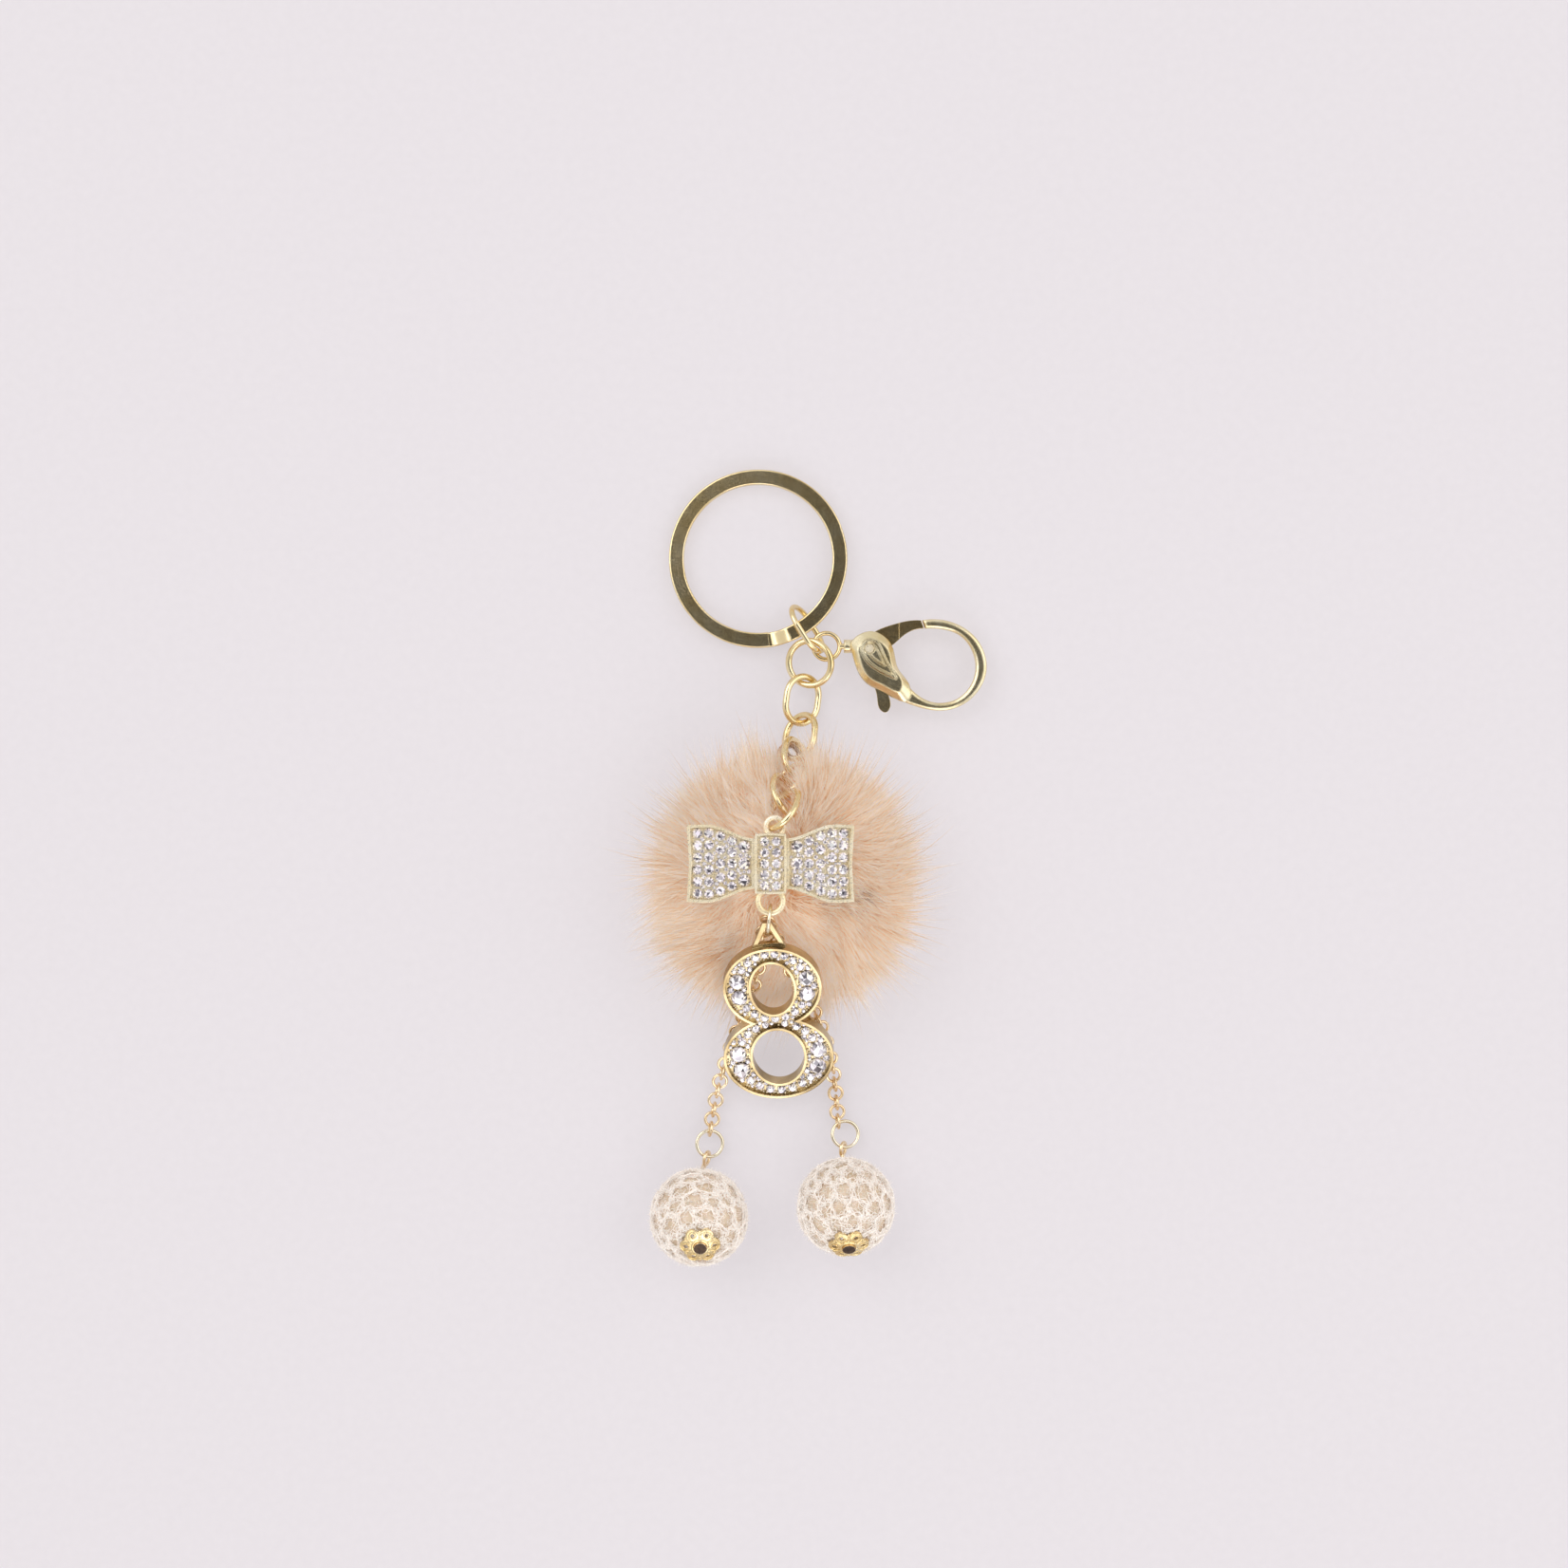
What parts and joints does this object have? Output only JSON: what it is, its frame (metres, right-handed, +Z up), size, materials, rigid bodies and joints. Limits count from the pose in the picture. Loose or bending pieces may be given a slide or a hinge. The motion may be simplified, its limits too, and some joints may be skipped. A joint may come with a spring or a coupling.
{
  "type": "plush keychain",
  "caption": "Fur pompom keychain with a split ring, lobster clasp, link chain, rhinestone bow, numeral pendant and netted beads on fine chains.",
  "frame": {"origin": "on the surface that the keychain lies on, below the middle of its bounding box", "axes": "+X to the clasp's side, +Y along the keychain towards the split ring, +Z up from the surface"},
  "size_m": [0.0562, 0.133, 0.0238],
  "materials": {
    "gold": "polished pale gold plate",
    "rose_gold": "polished rose gold plate",
    "silver_gold": "polished silvery gold plate",
    "steel_spring": "bright spring wire",
    "crystal": "faceted clear rhinestones",
    "fur": "soft plush fur",
    "stuffing": "polyester stuffing",
    "elastic": "woven elastic cord",
    "pearl": "pearl lustre",
    "lace": "fine net"
  },
  "bodies": {
    "key_ring": {"key_ring": "gold"},
    "top_ring": {"top_ring": "gold"},
    "clasp_eye": {"clasp_eye": "gold"},
    "clasp_body": {"clasp_body": "gold", "clasp_rivet": "gold", "clasp_spring": "steel_spring"},
    "clasp_trigger": {"clasp_trigger": "gold"},
    "chain_link_1": {"chain_link_1": "gold"},
    "chain_link_2": {"chain_link_2": "gold"},
    "chain_link_3": {"chain_link_3": "gold"},
    "chain_link_4": {"chain_link_4": "gold"},
    "chain_link_5": {"chain_link_5": "gold"},
    "chain_link_6": {"chain_link_6": "gold"},
    "chain_link_7": {"chain_link_7": "gold"},
    "pompom": {"pompom_fur": "fur", "pompom_core": "stuffing", "pompom_loop": "elastic"},
    "bow": {"bow_casting": "gold", "bow_left_stones": "crystal", "bow_right_stones": "crystal", "bow_knot_stones": "crystal"},
    "connector_ring": {"connector_ring": "silver_gold"},
    "eight": {"eight_casting": "gold", "eight_large_stones": "crystal", "eight_small_stones": "crystal"},
    "left_chain_upper": {"left_chain_upper": "rose_gold"},
    "left_chain_middle": {"left_chain_middle": "rose_gold"},
    "left_chain_lower": {"left_chain_lower": "rose_gold"},
    "left_ring": {"left_ring": "silver_gold"},
    "left_bead": {"left_pearl": "pearl", "left_net": "lace", "left_flower_cap": "gold", "left_plain_cap": "gold", "left_pin": "silver_gold"},
    "right_chain_upper": {"right_chain_upper": "rose_gold"},
    "right_chain_middle": {"right_chain_middle": "rose_gold"},
    "right_chain_lower": {"right_chain_lower": "rose_gold"},
    "right_ring": {"right_ring": "silver_gold"},
    "right_bead": {"right_pearl": "pearl", "right_net": "lace", "right_flower_cap": "gold", "right_plain_cap": "gold", "right_pin": "silver_gold"}
  },
  "joints": [
    {"name": "top_ring_slide_round", "type": "hinge", "parent": "key_ring", "child": "top_ring", "pos_m": [-0.01023, 0.05151, 0.00165], "axis": [-0.0244, 0.0362, 0.999], "range_deg": [-2, 60]},
    {"name": "clasp_eye_swing", "type": "hinge", "parent": "top_ring", "child": "clasp_eye", "pos_m": [-0.00008, 0.03716, 0.003], "axis": [0, -1, 0], "range_deg": [0, 18]},
    {"name": "clasp_swivel", "type": "hinge", "parent": "clasp_eye", "child": "clasp_body", "pos_m": [0.00415, 0.03676, 0.003], "axis": [1, 0, 0], "continuous": true},
    {"name": "trigger", "type": "hinge", "parent": "clasp_body", "child": "clasp_trigger", "pos_m": [0.0084, 0.03637, 0.003], "axis": [0, 0, 1], "range_deg": [-22, 0], "stiffness_Nm_per_rad": 0.002, "springref_deg": 11.46, "deforming": ["clasp_spring"]},
    {"name": "link_1_swing", "type": "hinge", "parent": "top_ring", "child": "chain_link_1", "pos_m": [-0.00099, 0.03756, 0.00413], "axis": [-0.0314, -0.199, 0.9795], "range_deg": [-8, 8]},
    {"name": "link_2_swing", "type": "hinge", "parent": "chain_link_1", "child": "chain_link_2", "pos_m": [-0.00221, 0.03085, 0.00316], "axis": [-1, 0, 0], "range_deg": [0, 12]},
    {"name": "link_3_swing", "type": "hinge", "parent": "chain_link_2", "child": "chain_link_3", "pos_m": [-0.00304, 0.02467, 0.00311], "axis": [0.0399, 0.3795, 0.9243], "range_deg": [-8, 8]},
    {"name": "link_4_swing", "type": "hinge", "parent": "chain_link_3", "child": "chain_link_4", "pos_m": [-0.00358, 0.01957, 0.00522], "axis": [-1, 0, 0], "range_deg": [0, 20]},
    {"name": "link_5_swing", "type": "hinge", "parent": "chain_link_4", "child": "chain_link_5", "pos_m": [-0.00441, 0.01597, 0.00924], "axis": [0.2377, 0.7789, 0.5803], "range_deg": [-6, 6]},
    {"name": "link_6_swing", "type": "hinge", "parent": "chain_link_5", "child": "chain_link_6", "pos_m": [-0.0053, 0.01307, 0.01349], "axis": [-1, 0, 0], "range_deg": [0, 20]},
    {"name": "link_7_swing", "type": "hinge", "parent": "chain_link_6", "child": "chain_link_7", "pos_m": [-0.00589, 0.01061, 0.01763], "axis": [0.2043, 0.6862, 0.6981], "range_deg": [-6, 6]},
    {"name": "pompom_swing", "type": "hinge", "parent": "chain_link_3", "child": "pompom", "pos_m": [-0.00479, 0.01954, 0.00299], "axis": [-1, 0, 0], "range_deg": [-15, 0]},
    {"name": "bow_swing", "type": "hinge", "parent": "chain_link_7", "child": "bow", "pos_m": [-0.0074, 0.00787, 0.0216], "axis": [-1, 0, 0], "range_deg": [0, 20]},
    {"name": "connector_swing", "type": "hinge", "parent": "bow", "child": "connector_ring", "pos_m": [-0.0081, -0.00713, 0.0211], "axis": [-1, 0, 0], "range_deg": [0, 20]},
    {"name": "pendant_swing", "type": "hinge", "parent": "connector_ring", "child": "eight", "pos_m": [-0.00864, -0.00986, 0.02023], "axis": [-1, 0, 0], "range_deg": [0, 25]},
    {"name": "left_upper_chain_swing", "type": "hinge", "parent": "connector_ring", "child": "left_chain_upper", "pos_m": [-0.0086, -0.00844, 0.0185], "axis": [0, 0.5299, -0.848], "range_deg": [0, 8]},
    {"name": "left_middle_chain_swing", "type": "hinge", "parent": "left_chain_upper", "child": "left_chain_middle", "pos_m": [-0.01114, -0.02032, 0.01102], "axis": [0, 0.5299, -0.848], "range_deg": [0, 8]},
    {"name": "left_lower_chain_swing", "type": "hinge", "parent": "left_chain_middle", "child": "left_chain_lower", "pos_m": [-0.01551, -0.03256, 0.00366], "axis": [0, 0, -1], "range_deg": [0, 8]},
    {"name": "left_ring_swing", "type": "hinge", "parent": "left_chain_lower", "child": "left_ring", "pos_m": [-0.01828, -0.04444, 0.0014], "axis": [-1, 0, 0], "range_deg": [0, 20]},
    {"name": "left_bead_swing", "type": "hinge", "parent": "left_ring", "child": "left_bead", "pos_m": [-0.01883, -0.04899, 0.0014], "axis": [-1, 0, 0], "range_deg": [0, 30]},
    {"name": "right_upper_chain_swing", "type": "hinge", "parent": "connector_ring", "child": "right_chain_upper", "pos_m": [-0.00818, -0.00983, 0.01904], "axis": [0, -0.5299, 0.848], "range_deg": [0, 8]},
    {"name": "right_middle_chain_swing", "type": "hinge", "parent": "right_chain_upper", "child": "right_chain_middle", "pos_m": [-0.00304, -0.02015, 0.01114], "axis": [0, -0.5299, 0.848], "range_deg": [0, 8]},
    {"name": "right_lower_chain_swing", "type": "hinge", "parent": "right_chain_middle", "child": "right_chain_lower", "pos_m": [0.00172, -0.03166, 0.00405], "axis": [0, 0, 1], "range_deg": [0, 8]},
    {"name": "right_ring_swing", "type": "hinge", "parent": "right_chain_lower", "child": "right_ring", "pos_m": [0.00322, -0.04314, 0.0014], "axis": [-1, 0, 0], "range_deg": [0, 20]},
    {"name": "right_bead_swing", "type": "hinge", "parent": "right_ring", "child": "right_bead", "pos_m": [0.00407, -0.04741, 0.0014], "axis": [-1, 0, 0], "range_deg": [0, 30]}
  ]
}
